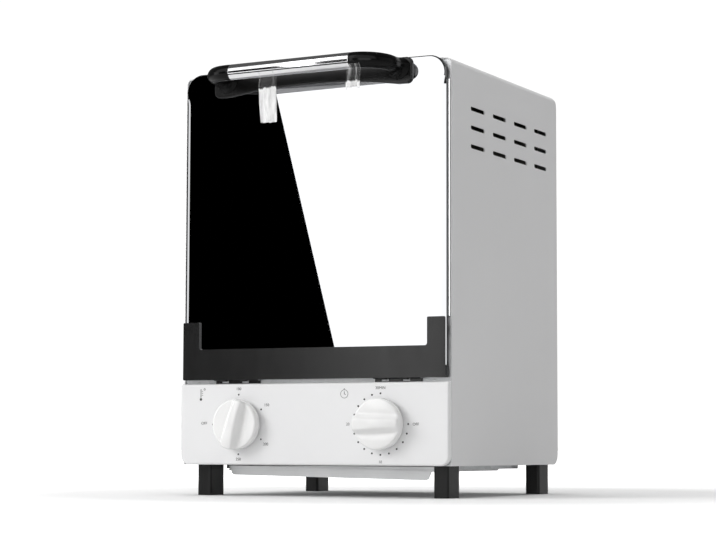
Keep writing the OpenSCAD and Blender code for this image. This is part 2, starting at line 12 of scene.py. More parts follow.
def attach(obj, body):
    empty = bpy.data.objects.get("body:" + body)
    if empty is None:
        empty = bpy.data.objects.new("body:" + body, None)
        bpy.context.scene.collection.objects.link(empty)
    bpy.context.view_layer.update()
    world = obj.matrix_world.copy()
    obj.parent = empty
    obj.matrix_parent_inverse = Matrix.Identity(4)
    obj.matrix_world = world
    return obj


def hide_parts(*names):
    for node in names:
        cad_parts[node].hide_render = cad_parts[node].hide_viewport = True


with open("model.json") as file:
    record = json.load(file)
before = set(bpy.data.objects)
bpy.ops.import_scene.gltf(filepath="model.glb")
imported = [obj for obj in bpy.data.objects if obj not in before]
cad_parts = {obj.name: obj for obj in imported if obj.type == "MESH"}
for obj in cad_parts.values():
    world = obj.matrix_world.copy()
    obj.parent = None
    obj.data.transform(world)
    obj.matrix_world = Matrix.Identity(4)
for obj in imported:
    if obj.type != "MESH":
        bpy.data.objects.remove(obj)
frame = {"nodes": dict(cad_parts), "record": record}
bpy.context.view_layer.update()
NODES = frame["nodes"]
random.seed(7)

YS = -102.0   # the glass front lies at local y = 0
ZB = 26.0    # underside of the case above the floor


def W(x, y, z):
    return (x / 1000.0, (y + YS) / 1000.0, z / 1000.0)


# ---------------------------------------------------------------- camera
def rad(d):
    return math.radians(d)


yaw, pitch, roll = rad(26.778), rad(4.728), rad(0.16)
fwd = Vector((-math.sin(yaw) * math.cos(pitch), math.cos(yaw) * math.cos(pitch), math.sin(pitch)))
right = Vector((math.cos(yaw), math.sin(yaw), 0.0))
up = right.cross(fwd)
r2 = right * math.cos(roll) + up * math.sin(roll)
u2 = -right * math.sin(roll) + up * math.cos(roll)
cam_data = bpy.data.cameras.new("camera")
cam_data.sensor_width = 36.0
cam_data.lens = 2143.6 * 36.0 / 716.0
cam_data.clip_start, cam_data.clip_end = 0.05, 60.0
cam = bpy.data.objects.new("camera", cam_data)
bpy.context.scene.collection.objects.link(cam)
m = Matrix((r2, u2, -fwd)).transposed().to_4x4()
m.translation = Vector((0.832245, -1.665345, 0.040886))
cam.matrix_world = m
bpy.context.scene.camera = cam


# ---------------------------------------------------------------- materials
class Mat:
    """Small helper to write node materials."""

    def __init__(self, name):
        self.m = bpy.data.materials.new(name)
        self.m.use_nodes = True
        self.t = self.m.node_tree
        self.t.nodes.clear()
        self.out = self.t.nodes.new("ShaderNodeOutputMaterial")
        self.b = self.t.nodes.new("ShaderNodeBsdfPrincipled")
        self.t.links.new(self.b.outputs[0], self.out.inputs[0])
        self.co = self.t.nodes.new("ShaderNodeTexCoord")

    def n(self, kind, **props):
        node = self.t.nodes.new(kind)
        for k, v in props.items():
            setattr(node, k, v)
        return node

    def link(self, a, b):
        self.t.links.new(a, b)

    def mapped(self, scale=(1, 1, 1), rot=(0, 0, 0), loc=(0, 0, 0)):
        mp = self.n("ShaderNodeMapping")
        mp.inputs["Scale"].default_value = scale
        mp.inputs["Rotation"].default_value = rot
        mp.inputs["Location"].default_value = loc
        self.link(self.co.outputs["Object"], mp.inputs["Vector"])
        return mp.outputs[0]

    def noise(self, scale, detail=3.0, rough=0.5, vec=None, distortion=0.0):
        nd = self.n("ShaderNodeTexNoise")
        nd.inputs["Scale"].default_value = scale
        nd.inputs["Detail"].default_value = detail
        nd.inputs["Roughness"].default_value = rough
        nd.inputs["Distortion"].default_value = distortion
        self.link(vec if vec is not None else self.co.outputs["Object"], nd.inputs["Vector"])
        return nd.outputs["Fac"]

    def ramp(self, fac, stops, interp="LINEAR"):
        r = self.n("ShaderNodeValToRGB")
        r.color_ramp.interpolation = interp
        el = r.color_ramp.elements
        while len(el) > 1:
            el.remove(el[-1])
        for i, (p, c) in enumerate(stops):
            e = el[0] if i == 0 else el.new(p)
            e.position = p
            e.color = c if len(c) == 4 else (*c, 1.0)
        self.link(fac, r.inputs[0])
        return r.outputs[0]

    def maprange(self, fac, lo, hi, a=0.0, b=1.0):
        r = self.n("ShaderNodeMapRange")
        r.inputs["From Min"].default_value = a
        r.inputs["From Max"].default_value = b
        r.inputs["To Min"].default_value = lo
        r.inputs["To Max"].default_value = hi
        self.link(fac, r.inputs["Value"])
        return r.outputs[0]

    def mixc(self, fac, a, b, mode="MIX"):
        r = self.n("ShaderNodeMix", data_type="RGBA", blend_type=mode)
        if isinstance(fac, (int, float)):
            r.inputs[0].default_value = fac
        else:
            self.link(fac, r.inputs[0])
        for sock, v in ((r.inputs[6], a), (r.inputs[7], b)):
            if isinstance(v, tuple):
                sock.default_value = v if len(v) == 4 else (*v, 1.0)
            else:
                self.link(v, sock)
        return r.outputs[2]

    def math(self, op, a, b=None, clamp=False):
        r = self.n("ShaderNodeMath", operation=op)
        r.use_clamp = clamp
        for sock, v in zip(r.inputs, (a, b)):
            if v is None:
                continue
            if isinstance(v, (int, float)):
                sock.default_value = v
            else:
                self.link(v, sock)
        return r.outputs[0]

    def bump(self, height, strength, distance, prev=None):
        bp = self.n("ShaderNodeBump")
        bp.inputs["Strength"].default_value = strength
        bp.inputs["Distance"].default_value = distance
        self.link(height, bp.inputs["Height"])
        if prev is not None:
            self.link(prev, bp.inputs["Normal"])
        return bp.outputs[0]

    def set(self, **kw):
        for k, v in kw.items():
            sock = self.b.inputs[k.replace("_", " ")]
            if hasattr(v, "links") or hasattr(v, "is_linked"):
                self.link(v, sock)
            elif isinstance(v, tuple) and len(v) == 3 and sock.type == "RGBA":
                sock.default_value = (*v, 1.0)
            else:
                sock.default_value = v
        return self


def grey(v):
    return (v, v, v)


def paint(name, c, rough=0.42, peel=0.05, spec=0.45):
    """Powder coat: fine orange peel, faint drift in tone, handled areas a little smoother, faint dust specks scattered
    at random.
    """
    a = Mat(name)
    drift = a.noise(7.0, 3)
    col = a.ramp(drift, [(0.3, tuple(x * 0.985 for x in c)), (0.7, tuple(min(1, x * 1.01) for x in c))])
    speck = a.noise(1600.0, 2)
    col = a.mixc(a.maprange(speck, 0.0, 0.03, 0.62, 0.75), col, tuple(x * 0.8 for x in c))
    scuff = a.noise(60.0, 5, 0.65, a.mapped((1, 1, 0.25)))
    ro = a.maprange(scuff, rough - 0.02, rough + 0.03, 0.35, 0.7)
    h1 = a.noise(520.0, 2, 0.4)
    nrm = a.bump(h1, peel, 0.0006)
    nrm = a.bump(a.noise(16.0, 2), 0.05, 0.0012, nrm)
    a.set(Base_Color=col, Roughness=ro, Normal=nrm, Specular_IOR_Level=spec)
    return a.m


def plastic(name, c, rough=0.3, grain=0.06, scale=900.0, spec=0.5, coat=0.0):
    """Moulded plastic: spark-eroded grain, flow tone, fine rubbing."""
    a = Mat(name)
    flow = a.noise(22.0, 4, 0.55)
    col = a.ramp(flow, [(0.3, tuple(x * 0.93 for x in c)), (0.72, tuple(min(1, x * 1.05) for x in c))])
    rub = a.noise(140.0, 6, 0.7, a.mapped((1, 1, 0.2), (0.4, 0.2, 0.7)))
    ro = a.maprange(rub, rough - 0.02, rough + 0.04, 0.35, 0.75)
    nrm = a.bump(a.noise(scale, 3, 0.6), grain, 0.0003)
    a.set(Base_Color=col, Roughness=ro, Normal=nrm, Specular_IOR_Level=spec)
    if coat:
        a.set(Coat_Weight=coat, Coat_Roughness=0.08)
    return a.m


def brushed(name, c, rough=0.3, axis="X", strength=0.12, streak=0.12, aniso=0.0):
    """Rolled or brushed metal: fine lines along one axis, faint mottling and finger marks."""
    a = Mat(name)
    s = {"X": (1.0, 60.0, 60.0), "Y": (60.0, 1.0, 60.0), "Z": (60.0, 60.0, 1.0)}[axis]
    lines = a.noise(28.0, 5, 0.7, a.mapped(s))
    smear = a.noise(18.0, 4, 0.6)
    col = a.ramp(lines, [(0.25, tuple(x * (1 - streak) for x in c)), (0.75, tuple(min(1, x * (1 + streak * 0.5)) for x in c))])
    col = a.mixc(a.maprange(smear, 0.0, 0.25, 0.4, 0.8), col, tuple(x * 0.86 for x in c))
    ro = a.math("ADD", a.maprange(lines, rough - 0.06, rough + 0.06, 0.2, 0.8), a.maprange(smear, -0.04, 0.05, 0.3, 0.7))
    nrm = a.bump(lines, strength, 0.00015)
    a.set(Base_Color=col, Metallic=1.0, Roughness=ro, Normal=nrm)
    if aniso:
        a.set(Anisotropic=aniso)
    return a.m


def zinc(name, c=(0.62, 0.63, 0.64), rough=0.42):
    """Galvanised sheet: large zinc spangle cells, each of its own tone."""
    a = Mat(name)
    v = a.n("ShaderNodeTexVoronoi", feature="F1")
    v.inputs["Scale"].default_value = 95.0
    a.link(a.co.outputs["Object"], v.inputs["Vector"])
    cell = a.n("ShaderNodeSeparateColor")
    a.link(v.outputs["Color"], cell.inputs[0])
    tone = a.math("ADD", a.math("MULTIPLY", cell.outputs[0], 0.6), a.math("MULTIPLY", a.noise(60, 4), 0.4))
    col = a.ramp(tone, [(0.2, tuple(x * 0.86 for x in c)), (0.8, tuple(min(1, x * 1.08) for x in c))])
    ro = a.maprange(tone, rough - 0.08, rough + 0.1)
    nrm = a.bump(tone, 0.08, 0.0002)
    a.set(Base_Color=col, Metallic=1.0, Roughness=ro, Normal=nrm)
    return a.m


MATS = {}
# The case grey is set lower than the panel grey even though case and panel share one white paint. The difference is
# painted shade for the sides getting less light than the front.
MATS["case_paint"] = paint("case_paint", (0.70, 0.70, 0.705), 0.42, 0.07)
MATS["panel_paint"] = paint("panel_paint", (0.80, 0.80, 0.805), 0.30, 0.035)
MATS["galvanised"] = zinc("galvanised")
MATS["liner_steel"] = brushed("liner_steel", (0.63, 0.63, 0.64), 0.27, "Y", 0.06, 0.07)
MATS["polished_steel"] = brushed("polished_steel", (0.83, 0.83, 0.84), 0.10, "X", 0.02, 0.03)
MATS["screw_steel"] = brushed("screw_steel", (0.60, 0.60, 0.61), 0.32, "Z", 0.05, 0.06)
MATS["rack_chrome"] = brushed("rack_chrome", (0.78, 0.78, 0.79), 0.16, "Y", 0.03, 0.04)
MATS["tray_aluminium"] = brushed("tray_aluminium", (0.72, 0.725, 0.73), 0.38, "X", 0.08, 0.08)
MATS["element_sheath"] = brushed("element_sheath", (0.30, 0.27, 0.25), 0.50, "X", 0.08, 0.18)
MATS["black_plastic"] = plastic("black_plastic", grey(0.004), 0.34, 0.10, spec=0.32)
MATS["handle_plastic"] = plastic("handle_plastic", grey(0.003), 0.16, 0.02, 700, 0.13)
MATS["trim_black"] = plastic("trim_black", grey(0.006), 0.24, 0.03, 1400, 0.38)
MATS["plate_black"] = plastic("plate_black", grey(0.005), 0.20, 0.02, 1400, 0.26)
MATS["knob_white"] = plastic("knob_white", (0.86, 0.86, 0.855), 0.16, 0.012, 500, 0.5)
MATS["ceramic"] = plastic("ceramic", (0.78, 0.76, 0.70), 0.50, 0.14, 420)
MATS["silicone"] = plastic("silicone", grey(0.035), 0.62, 0.10, 800, 0.35)
MATS["phenolic"] = plastic("phenolic", (0.06, 0.045, 0.035), 0.40, 0.1, 600)
MATS["print_ink"] = plastic("print_ink", grey(0.045), 0.55, 0.1, 1500, 0.3)
MATS["wire_sheath"] = plastic("wire_sheath", (0.42, 0.36, 0.30), 0.55, 0.2, 900)
MATS["copper"] = brushed("copper", (0.78, 0.42, 0.27), 0.30, "Y", 0.05, 0.08)


def wool_mat():
    a = Mat("wool")
    f = a.noise(220.0, 8, 0.75, a.mapped((1, 0.35, 1)))
    c = a.ramp(f, [(0.3, (0.035, 0.034, 0.03)), (0.7, (0.075, 0.072, 0.064))])
    a.set(Base_Color=c, Roughness=0.95, Normal=a.bump(f, 0.8, 0.002), Specular_IOR_Level=0.15)
    return a.m


MATS["wool"] = wool_mat()


def glass_mat():
    """Mirror-coated dark door glass: near-flat with the faintest float distortion and a few wiped smears."""
    a = Mat("door_glass")
    tint = a.noise(9.0, 3)
    col = a.ramp(tint, [(0.3, (0.335, 0.338, 0.345)), (0.7, (0.352, 0.355, 0.362))])
    wipe = a.noise(14.0, 6, 0.6, a.mapped((1, 1, 0.3), (0, 0.5, 0)))
    ro = a.maprange(wipe, 0.0, 0.018, 0.45, 0.8)
    nrm = a.bump(a.noise(4.0, 1), 0.02, 0.0006)
    a.set(Base_Color=col, Metallic=1.0, Roughness=ro, Normal=nrm)
    return a.m


def glass_edge_mat():
    """The ground rim of the glass sheet."""
    a = Mat("door_glass_edge")
    f = a.noise(700.0, 4, 0.6)
    c = a.ramp(f, [(0.3, (0.03, 0.035, 0.034)), (0.7, (0.06, 0.068, 0.066))])
    a.set(Base_Color=c, Roughness=a.maprange(f, 0.35, 0.6), Normal=a.bump(f, 0.12, 0.0002))
    return a.m


MATS["door_glass"] = glass_mat()
MATS["door_glass_edge"] = glass_edge_mat()


def film_mat(name, fade=0.0):
    """Clear protective film: tight and see-through under the bar, milky and creased where it hangs free."""
    a = Mat(name)
    streak = a.noise(36.0, 4, 0.6, a.mapped((13.0, 1.0, 0.5), (0, 0.04, 0)))
    fine = a.noise(300.0, 4, 0.6, a.mapped((1.4, 1, 0.25)))
    sep = a.n("ShaderNodeSeparateXYZ")
    a.link(a.co.outputs["Object"], sep.inputs[0])
    jag = a.math("ADD", sep.outputs[2], a.math("MULTIPLY", a.math("SUBTRACT", fine, 0.5), 0.007))
    free = a.maprange(jag, 1.0, 0.0, 0.3338, 0.3352)
    thin = a.maprange(streak, 0.02, 0.34, 0.54, 0.68)
    body = a.maprange(fine, 0.84, 0.99, 0.3, 0.7)
    if fade:
        body = a.math("MULTIPLY", body, a.maprange(jag, 0.10, 1.0, fade - 0.001, fade + 0.001))
    alpha = a.math("ADD", a.math("MULTIPLY", free, body), a.math("MULTIPLY", a.math("SUBTRACT", 1.0, free), thin), clamp=True)
    col = a.ramp(fine, [(0.25, grey(0.66)), (0.6, grey(0.86))])
    a.set(Base_Color=col, Roughness=0.3, Alpha=alpha, Normal=a.bump(fine, 0.25, 0.0006), Specular_IOR_Level=0.4)
    a.b.inputs["Emission Color"].default_value = (1, 1, 1, 1)
    a.b.inputs["Emission Strength"].default_value = 0.0
    return a.m


MATS["clear_film"] = film_mat("clear_film")
MATS["clear_film_thin"] = film_mat("clear_film_thin", 0.3292)

SLOT_OF = {}
record = frame["record"]
for mt in record.get("materials", []):
    for nd in mt.get("nodes", []):
        SLOT_OF[nd] = mt.get("slot")


# ---------------------------------------------------------------- mesh helpers
def area2(p):
    return sum(p[i][0] * p[(i + 1) % len(p)][1] - p[(i + 1) % len(p)][0] * p[i][1] for i in range(len(p)))


def rrect(x0, x1, z0, z1, r=0.0, n=6):
    """Rounded rectangle, anticlockwise. r is one radius or (bottom left, bottom right, top right, top left)."""
    rs = [r] * 4 if isinstance(r, (int, float)) else list(r)
    corners = [(x0, z0, 180, 1, 1), (x1, z0, 270, -1, 1), (x1, z1, 0, -1, -1), (x0, z1, 90, 1, -1)]
    pts = []
    for (cx, cz, a0, sx, sz), q in zip(corners, rs):
        if q <= 0:
            pts.append((cx, cz))
            continue
        for i in range(n + 1):
            t = rad(a0 + 90.0 * i / n)
            pts.append((cx + sx * q + q * math.cos(t), cz + sz * q + q * math.sin(t)))
    return pts


def circle(cx, cz, r, n=32):
    return [(cx + r * math.cos(2 * math.pi * i / n), cz + r * math.sin(2 * math.pi * i / n)) for i in range(n)]


def fillet(pts, radii, n=4):
    """Rounds the corners of a polygon; radii is one number or one per corner."""
    out = []
    k = len(pts)
    rs = [radii] * k if isinstance(radii, (int, float)) else radii
    for i in range(k):
        p, a, b = Vector(pts[i]), Vector(pts[i - 1]), Vector(pts[(i + 1) % k])
        r = rs[i]
        da, db = (a - p), (b - p)
        la, lb = da.length, db.length
        da, db = da / la, db / lb
        ang = math.acos(max(-1, min(1, da.dot(db))))
        if r <= 0 or ang > rad(178) or ang < rad(2):
            out.append(tuple(p))
            continue
        d = min(r / math.tan(ang / 2), la * 0.49, lb * 0.49)
        rr = d * math.tan(ang / 2)
        c = p + (da + db).normalized() * (rr / math.sin(ang / 2))
        v0, v1 = p + da * d - c, p + db * d - c
        a0 = math.atan2(v0.y, v0.x)
        dv = math.atan2(v0.x * v1.y - v0.y * v1.x, v0.dot(v1))
        for j in range(n + 1):
            t = a0 + dv * j / n
            out.append((c.x + rr * math.cos(t), c.y + rr * math.sin(t)))
    return out


def inset(pts, d):
    """Moves a loop to the left of its direction of travel by d."""
    if abs(d) < 1e-9:
        return list(pts)
    out = []
    k = len(pts)
    for i in range(k):
        a, p, b = Vector(pts[i - 1]), Vector(pts[i]), Vector(pts[(i + 1) % k])
        e0, e1 = (p - a), (b - p)
        if e0.length < 1e-9:
            e0 = e1
        if e1.length < 1e-9:
            e1 = e0
        e0, e1 = e0.normalized(), e1.normalized()
        n0, n1 = Vector((-e0.y, e0.x)), Vector((-e1.y, e1.x))
        s = n0 + n1
        if s.length < 1e-6:
            s = n0
        s.normalize()
        c = max(0.35, s.dot(n0))
        q = p + s * (d / c)
        out.append((q.x, q.y))
    return out


def arc_rings(a_edge, a_in, r, n=4, start="cap"):
    """Rings of a rounded edge. The cap lies at a_edge; the wall starts r further in."""
    s = 1.0 if a_in > a_edge else -1.0
    rings = [(a_edge + s * r * (1 - math.cos(rad(90 * i / n))), r * (1 - math.sin(rad(90 * i / n)))) for i in range(n + 1)]
    return rings if start == "cap" else rings[::-1]


AXES = {
    "Y": lambda u, v, a: (u, a, v),
    "X": lambda u, v, a: (a, u, v),
    "Z": lambda u, v, a: (u, v, a),
}


class Build:
    """Collects geometry in local millimetres, with one material index per part."""

    def __init__(self):
        self.v, self.f, self.mi = [], [], []

    def add(self, verts, faces, mi=0):
        o = len(self.v)
        self.v += verts
        self.f += [tuple(i + o for i in f) for f in faces]
        self.mi += [mi] * len(faces)

    def plate(self, outer, rings, holes=(), hole_rings=None, axis="Y", mi=0, edge_mi=None, edge_from=0, xf=None, ease=None):
        """Closed solid between two flat caps. rings = [(position along axis, inset)]; holes are cut through."""
        outer = list(outer) if area2(outer) > 0 else list(outer)[::-1]
        hs = [list(h) if area2(h) < 0 else list(h)[::-1] for h in holes]
        hr = hole_rings or rings
        put = AXES[axis]
        verts, faces, mats = [], [], []
        firsts, lasts = [], []
        for loop, rg in [(outer, rings)] + [(h, hr) for h in hs]:
            k = len(loop)
            start = len(verts)
            for a, d in rg:
                for (u, v), (u0, v0) in zip(inset(loop, d), loop):
                    e = ease(u0, v0) if ease else 1.0
                    verts.append(put(u0 + (u - u0) * e, v0 + (v - v0) * e, a))
            for i in range(len(rg) - 1):
                for j in range(k):
                    j2 = (j + 1) % k
                    faces.append((start + i * k + j, start + i * k + j2, start + (i + 1) * k + j2, start + (i + 1) * k + j))
                    mats.append(edge_mi if edge_mi is not None and i >= edge_from else mi)
            firsts.append((start, k))
            lasts.append((start + (len(rg) - 1) * k, k))
        for which in (firsts, lasts):
            loops3, index = [], []
            for s, k in which:
                if axis == "Y":
                    loops3.append([Vector((verts[s + j][0], verts[s + j][2], 0)) for j in range(k)])
                elif axis == "X":
                    loops3.append([Vector((verts[s + j][1], verts[s + j][2], 0)) for j in range(k)])
                else:
                    loops3.append([Vector((verts[s + j][0], verts[s + j][1], 0)) for j in range(k)])
                index += [s + j for j in range(k)]
            if len(which) == 1 and k <= 4:
                faces.append(tuple(index))
                mats.append(mi)
            else:
                for t in tessellate_polygon(loops3):
                    faces.append(tuple(index[i] for i in t))
                    mats.append(mi)
        if edge_mi is not None:
            n_caps = 0
        if xf:
            verts = [xf(*p) for p in verts]
        o = len(self.v)
        self.v += verts
        self.f += [tuple(i + o for i in f) for f in faces]
        self.mi += mats

    def lathe(self, prof, axis, centre, n=48, mi=0, closed=False):
        """prof = [(radius, position along axis)]. Radius 0 closes an end."""
        put = AXES[axis]
        rings = []
        verts, faces = [], []
        for r, a in prof:
            if r < 1e-6:
                verts.append(put(centre[0], centre[1], a))
                rings.append([len(verts) - 1])
            else:
                idx = []
                for i in range(n):
                    t = 2 * math.pi * i / n
                    verts.append(put(centre[0] + r * math.cos(t), centre[1] + r * math.sin(t), a))
                    idx.append(len(verts) - 1)
                rings.append(idx)
        pairs = list(zip(rings, rings[1:])) + ([(rings[-1], rings[0])] if closed else [])
        for a, b in pairs:
            for i in range(n):
                j = (i + 1) % n
                if len(a) == 1 and len(b) == 1:
                    break
                if len(a) == 1:
                    faces.append((a[0], b[i], b[j]))
                elif len(b) == 1:
                    faces.append((a[i], b[0], a[j]))
                else:
                    faces.append((a[i], a[j], b[j], b[i]))
        self.add(verts, faces, mi)

    def tube(self, path, radii, n=24, mi=0, flat=1.0):
        """Round tube with capped, rounded ends along a path of points."""
        pts = [Vector(p) for p in path]
        rs = [radii] * len(pts) if isinstance(radii, (int, float)) else list(radii)
        tang = []
        for i in range(len(pts)):
            a = pts[max(0, i - 1)]
            b = pts[min(len(pts) - 1, i + 1)]
            tang.append((b - a).normalized())
        ref = Vector((0, 0, 1)) if abs(tang[0].z) < 0.9 else Vector((1, 0, 0))
        nrm = (ref - tang[0] * ref.dot(tang[0])).normalized()
        verts, faces = [], []
        for i, p in enumerate(pts):
            if i:
                nrm = (nrm - tang[i] * nrm.dot(tang[i])).normalized()
            bi = tang[i].cross(nrm)
            for j in range(n):
                t = 2 * math.pi * j / n
                verts.append(tuple(p + (nrm * math.cos(t) + bi * math.sin(t) * flat) * rs[i]))
        for i in range(len(pts) - 1):
            for j in range(n):
                k = (j + 1) % n
                faces.append((i * n + j, i * n + k, (i + 1) * n + k, (i + 1) * n + j))
        faces.append(tuple(range(n))[::-1])
        faces.append(tuple((len(pts) - 1) * n + j for j in range(n)))
        self.add(verts, faces, mi)

    def obj(self, name, mats, body, nodes=(), angle=32.0, weighted=True, merge=0.0005):
        me = bpy.data.meshes.new(name)
        me.from_pydata([W(*p) for p in self.v], [], self.f)
        for mt in mats:
            me.materials.append(mt)
        me.polygons.foreach_set("material_index", self.mi)
        bm = bmesh.new()
        bm.from_mesh(me)
        bmesh.ops.remove_doubles(bm, verts=bm.verts, dist=merge / 1000.0)
        bmesh.ops.dissolve_degenerate(bm, dist=1e-7, edges=bm.edges)
        bmesh.ops.recalc_face_normals(bm, faces=bm.faces)
        bm.to_mesh(me)
        bm.free()
        me.shade_smooth()
        me.set_sharp_from_angle(angle=rad(angle))
        me.update()
        o = bpy.data.objects.new(name, me)
        bpy.context.scene.collection.objects.link(o)
        if weighted:
            w = o.modifiers.new("normals", "WEIGHTED_NORMAL")
            w.keep_sharp = True
            w.weight = 80
        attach(o, body)
        if nodes:
            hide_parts(*([nodes] if isinstance(nodes, str) else nodes))
        return o


def smooth_node(name, mats=None, angle=28.0, bevel=0.0, seg=2):
    """Dresses a CAD node that is kept: material, smooth shading, and worn-in edges as modifiers."""
    o = NODES[name]
    me = o.data
    me.materials.clear()
    me.materials.append(mats or MATS[SLOT_OF[name]])
    for attr in ("custom_normal",):
        if attr in me.attributes:
            me.attributes.remove(me.attributes[attr])
    for p in me.polygons:
        p.material_index = 0
    me.shade_smooth()
    w = o.modifiers.new("weld", "WELD")
    w.merge_threshold = 2e-6
    if bevel > 0:
        d = o.modifiers.new("planar", "DECIMATE")
        d.decimate_type = "DISSOLVE"
        d.angle_limit = rad(0.6)
        b = o.modifiers.new("edges", "BEVEL")
        b.width = bevel / 1000.0
        b.segments = seg
        b.limit_method = "ANGLE"
        b.angle_limit = rad(angle)
        b.use_clamp_overlap = True
        b.harden_normals = False
        b.miter_outer = "MITER_ARC"
        wn = o.modifiers.new("normals", "WEIGHTED_NORMAL")
        wn.weight = 80
    return o


SLOT_OF.update({s["node"]: s["material_slot"] for s in record["subparts"]})

# ---------------------------------------------------------------- door
def door_pieces():
    # glass sheet: wide polished bevel down the sides, narrower over the top, ground rim
    g = Build()
    outer = rrect(-122.2, 122.2, 106.0, 359.0, (1.0, 1.0, 15.0, 15.0), 14)

    def ease(u, v):
        t = min(1.0, max(0.0, (v - 333.0) / 11.0))
        return 1.0 - 0.72 * t * t * (3 - 2 * t)

    fine, n_o = [], len(outer)
    for i in range(n_o):
        a0, c0 = outer[i], outer[(i + 1) % n_o]
        fine.append(a0)
        if abs(c0[1] - a0[1]) > 100 and abs(c0[0] - a0[0]) < 0.01:
            steps = [z for z in (200.0, 300.0, 333.0, 335.0, 337.0, 339.0, 341.0, 342.5)]
            if c0[1] < a0[1]:
                steps.reverse()
            fine += [(a0[0], z) for z in steps]
    outer = fine
    FX, FZ = 80.8, 351.4
    g.plate(outer, [(0.0, 3.9), (0.5, 1.9), (1.5, 0.1), (1.8, 0.0), (3.6, 0.0), (4.0, 0.4)],
            holes=[circle(-FX, FZ, 2.4, 20), circle(FX, FZ, 2.4, 20)], hole_rings=[(0.0, 0.0), (4.0, 0.0)],
            edge_mi=1, edge_from=2, ease=ease)
    g.obj("glass_sheet", [MATS["door_glass"], MATS["door_glass_edge"]], "door", "door_glass", angle=9)

    # handle backplate: a plate with a soft front edge, its lower edge arched between the feet of the handle
    p = Build()
    r = arc_rings(-2.5, 0, 0.9, 4) + [(-0.25, 0.0), (-0.05, 0.2)]
    body = rrect(-92.8, 92.8, 337.0, 358.7, 5.0, 8)
    low = [(x, 343.2 - 519.0 + math.sqrt(519.0 ** 2 - x * x)) for x in [-78 + 6 * k for k in range(27)]]
    body = body[:9] + [(-80.0, 337.0)] + low + [(80.0, 337.0)] + body[9:]
    p.plate(body, r, holes=[circle(-FX, FZ, 2.4, 20), circle(FX, FZ, 2.4, 20)],
            hole_rings=[(-2.5, 0.0), (-0.05, 0.0)])
    p.obj("handle_plate", [MATS["plate_black"]], "door", "handle_backplate")

    def bar_z(x):
        return 351.7 + 0.7 * x / 55.8

    # bright sleeve on the bar, with a thin dark line let into its front
    s = Build()
    groove = (-27.5, -19.0)
    ang = sorted(set([round(-180 + 5 * i, 3) for i in range(72)] + [groove[0] - 0.6, groove[0], groove[0] + 0.6, groove[1] - 0.6, groove[1], groove[1] + 0.6]))

    def ring(x, dr, rr=None):
        out = []
        for a in ang:
            q = 6.65 - dr
            if rr is not None:
                q = rr
            elif groove[0] < a < groove[1]:
                q -= 0.22
            out.append((x, -38.0 - q * math.cos(rad(a)), bar_z(x) + q * math.sin(rad(a))))
        return out

    xs = [(-55.8, None, 5.45), (-55.8, 0.35, None), (-55.68, 0.1, None), (-55.4, 0.0, None), (55.4, 0.0, None), (55.68, 0.1, None), (55.8, 0.35, None), (55.8, None, 5.45)]
    rows = [ring(x, dr or 0.0, rr) for x, dr, rr in xs]
    k = len(ang)
    verts = [v for row in rows for v in row]
    for i in range(len(rows)):
        i2 = (i + 1) % len(rows)
        for j in range(k):
            j2 = (j + 1) % k
            mid = (ang[j] + ang[j2]) / 2 if j2 else 180
            dark = groove[0] < mid < groove[1] and 1 <= i <= 5
            s.add([verts[i * k + j], verts[i * k + j2], verts[i2 * k + j2], verts[i2 * k + j]], [(0, 1, 2, 3)], 1 if dark else 0)
    s.obj("bar_sleeve", [MATS["polished_steel"], MATS["handle_plastic"]], "door", "handle_sleeve", angle=30, weighted=False)

    # curved ends: the bar turns back in a quarter bend and spreads into a foot on the plate
    def handle_end(name, node, sx):
        b = Build()
        pts = [(55.95, -38.0), (56.6, -38.0), (57.6, -38.0), (58.8, -38.0)]
        for i in range(1, 17):
            t = rad(90.0 * i / 16)
            pts.append((58.8 + 22.0 * math.sin(t), -38.0 + 22.0 * (1 - math.cos(t))))
        pts += [(80.8, y) for y in (-14.0, -12.5, -11.0, -9.6, -8.4, -7.3, -6.3, -5.4, -4.7, -4.1, -3.6, -3.2, -2.9, -2.6)]
        n = 40
        run = [0.0]
        for a, c in zip(pts, pts[1:]):
            run.append(run[-1] + math.hypot(c[0] - a[0], c[1] - a[1]))
        verts, faces = [], []
        for i, (x, y) in enumerate(pts):
            a, c = pts[max(0, i - 1)], pts[min(len(pts) - 1, i + 1)]
            tx, ty = c[0] - a[0], c[1] - a[1]
            le = math.hypot(tx, ty)
            tx, ty = tx / le, ty / le
            bx, by = ty, -tx
            f = run[i] / run[-1]
            z0 = bar_z(sx * 55.9) + (351.4 - bar_z(sx * 55.9)) * f * f * (3 - 2 * f)
            d = -2.6 - y
            k = max(0.0, 1 - d / 11.0) ** 2.4 if x > 80.7 else 0.0
            for j in range(n):
                ph = 2 * math.pi * j / n
                co, si = math.cos(ph), math.sin(ph)
                vert = 7.4 if co > 0 else 11.6
                big = 1.0 / math.sqrt((si / 10.9) ** 2 + (co / vert) ** 2)
                small = 6.65 if 0 < i else 6.4
                q = small + (big - small) * k
                if d < 0.5 and k > 0:
                    q -= 0.35 * (1 - d / 0.5)
                verts.append((sx * (x + bx * si * q), y + by * si * q, z0 + co * q))
        for i in range(len(pts) - 1):
            for j in range(n):
                j2 = (j + 1) % n
                faces.append((i * n + j, i * n + j2, (i + 1) * n + j2, (i + 1) * n + j))
        faces.append(tuple(range(n)))
        faces.append(tuple((len(pts) - 1) * n + j for j in range(n)))
        b.add(verts, faces)
        b.obj(name, [MATS["handle_plastic"]], "door", node, angle=50)

    handle_end("bar_end_left", "handle_end_left", -1)
    handle_end("bar_end_right", "handle_end_right", 1)

